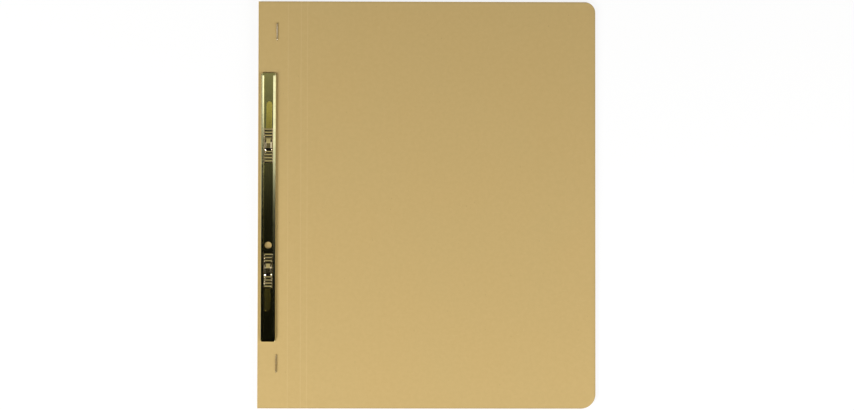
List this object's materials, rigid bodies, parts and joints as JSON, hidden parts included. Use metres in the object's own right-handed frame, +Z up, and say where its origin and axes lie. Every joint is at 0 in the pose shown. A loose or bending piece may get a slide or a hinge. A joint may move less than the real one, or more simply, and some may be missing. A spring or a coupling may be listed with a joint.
{
  "type": "two-prong flat file",
  "caption": "Closed A4 flat file in manila card: hemmed, stapled covers, a scored front cover that opens, and a metal prong fastener with a channelled bar and sliding locks.",
  "frame": {"origin": "middle of the file's footprint, on the surface that it lies on", "axes": "+X from the spine to the fore-edge, +Y from tail to head along the spine, +Z up out of the front cover"},
  "size_m": [0.253, 0.305, 0.0067],
  "materials": {
    "card": "matte",
    "brassed_sheet": "polished",
    "staple_wire": "satin"
  },
  "bodies": {
    "binding": {"back_cover": "card", "back_upper_staple": "staple_wire", "back_lower_staple": "staple_wire", "prong_strip": "brassed_sheet", "front_binding_strip": "card", "front_upper_staple": "staple_wire", "front_lower_staple": "staple_wire", "compressor_bar": "brassed_sheet"},
    "inner_band": {"inner_hinge_band": "card"},
    "outer_band": {"outer_hinge_band": "card"},
    "panel": {"front_panel": "card"},
    "upper_lock": {"upper_slider": "brassed_sheet"},
    "lower_lock": {"lower_slider": "brassed_sheet"}
  },
  "joints": [
    {"name": "cover_first_score", "type": "hinge", "parent": "binding", "child": "inner_band", "pos_m": [-0.104, 0, 0.0044], "axis": [0, -1, 0], "range_deg": [0, 90]},
    {"name": "cover_second_score", "type": "hinge", "parent": "inner_band", "child": "outer_band", "pos_m": [-0.0943, 0, 0.00429], "axis": [0, -1, 0], "range_deg": [0, 45]},
    {"name": "cover_third_score", "type": "hinge", "parent": "outer_band", "child": "panel", "pos_m": [-0.0896, 0, 0.00424], "axis": [0, -1, 0], "range_deg": [0, 45]},
    {"name": "upper_slider_slide", "type": "slide", "parent": "binding", "child": "upper_lock", "axis": [0, 1, 0], "range_m": [-0.024, 0.036]},
    {"name": "lower_slider_slide", "type": "slide", "parent": "binding", "child": "lower_lock", "axis": [0, -1, 0], "range_m": [-0.024, 0.036]}
  ]
}
